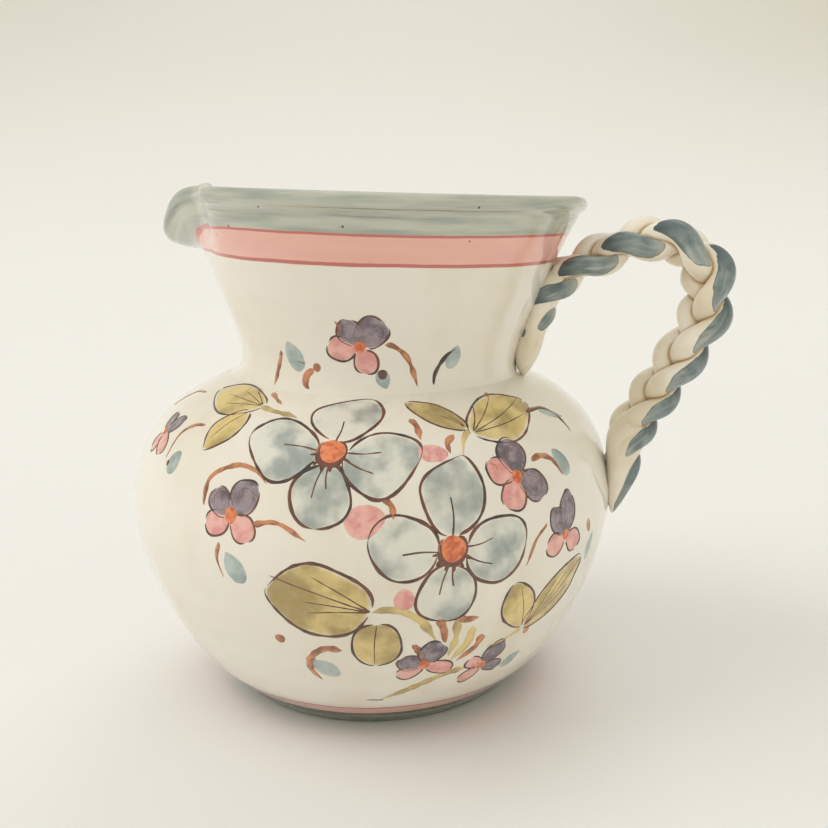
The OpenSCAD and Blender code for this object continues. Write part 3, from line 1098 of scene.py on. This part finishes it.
# %% Painting on the front of the belly
big_flower((BOWL, 5.8, 102.6), (
    (-86, 22.5, 21.5, 0.3, 2, ((4, 0.5),)), (9, 19.5, 20.5, 0.35, 5, ((0, 0.45),)),
    (104, 21.5, 21, 0.15, -3, ((-14, 0.5), (14, 0.5))), (189, 18.5, 17.5, 0.0, 0,
                                                    ((-7, 0.42), (9, 0.6)))))
big_flower((BOWL, 30.6, 72.6), (
    (6, 23.5, 19.5, 0.55, 3, ((-4, 0.5),)), (99, 20.5, 20.5, 0.15, -3, ((-18, 0.45), (16, 0.5))),
    (186, 19, 18, 0.0, 0, ((-8, 0.4), (10, 0.55))), (-84, 20.5, 19.5, 0.35, 2, ((-6, 0.55),))))
pansy((BOWL, -15.1, 81.7), ((-52, 9.5, 8), (32, 11.5, 9.6)), ((242, 9.5, 7.6), (128, 9, 8)), 1.15)
stem(BOWL, -22.8, 83, 1.4, (0, 0), (0.4, 8.6), (8.4, 13.4), (15.6, 12.4), (20.4, 9))
stem(BOWL, -10, 80, 1.3, (0, 0), (8, 1.2), (17, -3.4))
stroke((BOWL, -17.6, 73.4), ((0, 0), (-1.2, -4.6), (0.6, -11)), 1.4, "stem", 1.2)
drop((BOWL, -14.2, 66.4), -32, 11, 7)
wash((BOWL, -13.6, 63.9), petal(40, -2.6, 5.2, 5), "drop", 10, 0.04)
for bearing, arc, turn, length, width in ((13.4, 82.4, 80, 12.5, 10), (29, 101.2, 100, 9.4, 6.2),
                                          (20.8, 58.8, 0, 7.6, 6.4)):
    drop((BOWL, bearing, arc), turn, length, width, "pink", 0)
for bearing, arc, run in ((25.6, 115, (1.6, -9)), (35.8, 106.8, (-3.4, -6.4)),
                          (17, 89, (2.8, -6.6)), (41.5, 96, (2.2, -3))):
    stroke((BOWL, bearing, arc), ((0, 0), (run[0] * 0.9, run[1] * 0.4), run), 1.5, "stem")

# %% Painting towards the handle
pansy((BOWL, 47.6, 90.4), ((8, 12, 9.8), (122, 11.5, 9)), ((-62, 9.5, 8.6), (206, 9.5, 9)), 1.0)
stem(BOWL, 53, 94, 1.5, (0, 0), (4.4, 0.8), (9, -1.4), (11.6, -7))
drop((BOWL, 62.5, 91), -20, 10, 6.6, point=0.2)
pansy((BOWL, 59.4, 69), ((14, 13, 7.6), (-30, 10, 7.6)), ((-112, 8.5, 7.4), (122, 8.5, 7)), 0.8)
stem(BOWL, 53.6, 74.6, 1.1, (0, 0), (-5, -4), (-8.6, -11.6))
wash((BOWL, 69.4, 68), petal(-20, -2.6, 5.2, 2.8), "stem", 10)
drop((BOWL, 71.4, 60), 10, 10, 5)
leaf((BOWL, 50.4, 40.8), -24, 18.5, 12, ((8, 0.9),), 0.1)
leaf((BOWL, 50.8, 39.8), 52, 30, 13, ((-16, 0.62), (-7, 0.76), (0, 0.98), (8, 0.7)), 0.1)
stroke((BOWL, 50.6, 39.6), ((0, 0), (-6.4, -3), (-12.4, -4)), 2.4, "leaf", 1.3)
wash((BOWL, 52.8, 37.1), petal(0, -1.4, 2.8, 2.8), "stem", 8)

# %% Painting on the lower belly
leaf((BOWL, 14.3, 55), -78, 32, 24, ((-14, 0.6), (-3, 0.66), (8, 0.99), (22, 0.66)), 0.55, 0, 0.9)
leaf((BOWL, 15.2, 51), 181, 17.5, 15, ((2, 0.96),), 0.3)
stroke((BOWL, 14.3, 55), ((0, 0), (4.6, 0.6), (9.6, -0.8), (14.6, -5), (18.6, -12.4)), 2.2, "leaf")
wash((BOWL, -6.3, 43.4), petal(0, -1.8, 3.6, 3.4), "stem", 10)
stem(BOWL, 2.8, 33, 1.9, (6.4, 7.4), (1.4, 8), (-3, 4.6), (-4.4, -1.2), (-1.6, -6.8))
drop((BOWL, 3, 32.4), -50, 10.5, 6.6)
stem(BOWL, 33.8, 49.6, 1.8, (-0.6, 1.6), (0, -0.4), (5.2, -0.6))
pansy((BOWL, 26, 32.6), ((22, 9.5, 8.4), (-74, 8, 6.6)), ((238, 8.5, 6), (112, 9, 6)), 0.9)
stem(BOWL, 22.8, 42, 1.7, (0, 0), (2, -2.8), (4.2, -9))
pansy((BOWL, 41.6, 27.2), ((34, 10.5, 7), (112, 8, 5.4)), ((-58, 6, 5.4), (224, 8.5, 5)), 0.9)
drop((BOWL, 51.6, 24.8), 50, 8.5, 5.4)
for bearing, arc, foot_at, paint in (
        (28.3, 51, (2.6, -10), "stem"), (32.2, 50, (-1, -15), "leaf"),
        (36.4, 46, (-5.2, -13), "leaf"), (39.2, 42, (-7, -10), "stem")):
    middle = (foot_at[0] * 0.35 + 0.9, foot_at[1] * 0.5)
    stroke((BOWL, bearing, arc), ((0, 0), middle, foot_at), 2, paint)
stroke((BOWL, 37, 28), ((0, 0), (-8, -2), (-16.6, -7), (-25, -13)), 2.2, "leaf")
stroke((BOWL, 16.8, 15), ((0, 0), (-6, 0.4)), 0.5, "outline")

# %% [markdown]
# The far side carries a looser spray in the same hand.

# %% Painting on the far side
big_flower((BOWL, 176, 88), (
    (-8, 23, 20, 0.5, 3, ((4, 0.5),)), (84, 21, 20, 0.2, -3, ((-14, 0.45), (12, 0.5))),
    (170, 20, 19, 0.0, 0, ((-8, 0.4), (8, 0.55))), (-98, 21, 20, 0.35, 2, ((6, 0.55),))))
leaf((BOWL, 199, 70), 118, 28, 20, ((-14, 0.6), (0, 0.95), (14, 0.6)), 0.5, 0, 0.9)
leaf((BOWL, 200, 72), 44, 19, 12, ((2, 0.9),), 0.3)
leaf((BOWL, 154, 108), -60, 23, 13, ((-12, 0.6), (2, 0.8), (16, 0.5)), 0.25)
leaf((BOWL, 155, 104), -128, 18, 9, ((2, 0.85),), 0.5)
pansy((BOWL, 146, 74), ((-34, 10, 8.6), (30, 11, 9)), ((-118, 9.5, 8), (128, 9, 8)), 1.1)
pansy((BOWL, 214, 98), ((-20, 10, 8.6), (44, 10, 8.4)), ((-96, 9, 8), (150, 9, 8)), 1.0)
pansy((BOWL, 172, 42), ((-36, 9.5, 8), (28, 10, 8.4)), ((-104, 9, 6.6), (118, 9, 7)), 0.9)
pansy((NECK, 184, 18), ((-32, 10, 8.6), (32, 11, 9.4)), ((-110, 9.5, 8), (142, 9, 7.6)))
stroke((BOWL, 199, 70), ((0, 0), (-8, 2), (-14, 8)), 2.2, "leaf")
stroke((BOWL, 172, 48), ((0, 0), (3, 8), (1, 16)), 2, "leaf")
stem(BOWL, 141, 81, 1.4, (0, 0), (-1, 8), (5, 15), (13, 17))
stem(BOWL, 219, 92, 1.4, (0, 0), (6, -4), (8, -12))
stem(NECK, 194, 17, 1.5, (0, 0), (5, -3), (8, -12))
for skin, bearing, arc, turn in ((BOWL, 134, 66, -30), (BOWL, 224, 76, 20), (NECK, 160, 12, -20),
                                 (NECK, 212, 9, 30), (BOWL, 190, 46, 60), (BOWL, 240, 104, -40)):
    drop((skin, bearing, arc), turn, 9.5, 6.4)
for bearing, arc, turn in ((160, 62, 60), (192, 104, 100), (205, 52, 10)):
    drop((BOWL, bearing, arc), turn, 9, 7.4, "pink", 0)
for bearing, arc in ((164, 50), (180, 52), (196, 112), (228, 60), (130, 100)):
    stem(BOWL, bearing, arc, 1.8, (0, 0), (1.4, -3), (1.8, -7.5))

# %% [markdown]
# Marks of one colour on the pot become one piece. Solidify gives the paint a thickness,
# so that each mark is a closed skin with its lower half buried in the glaze.

# %% Join the marks by colour
for paint, pieces in marks.items():
    start_fresh()
    for piece in pieces:
        piece.select_set(True)
    bpy.context.view_layer.objects.active = pieces[0]
    if len(pieces) > 1:
        bpy.ops.object.join()
    painted = bpy.context.view_layer.objects.active
    thickness = painted.modifiers.new("thickness", "SOLIDIFY")
    thickness.thickness = 0.2 * MM
    thickness.offset = -1
    bpy.ops.object.modifier_apply(modifier=thickness.name)
    glaze, slot = PAINTS[paint]
    finish_piece(painted, f"{paint}_paint", glaze)
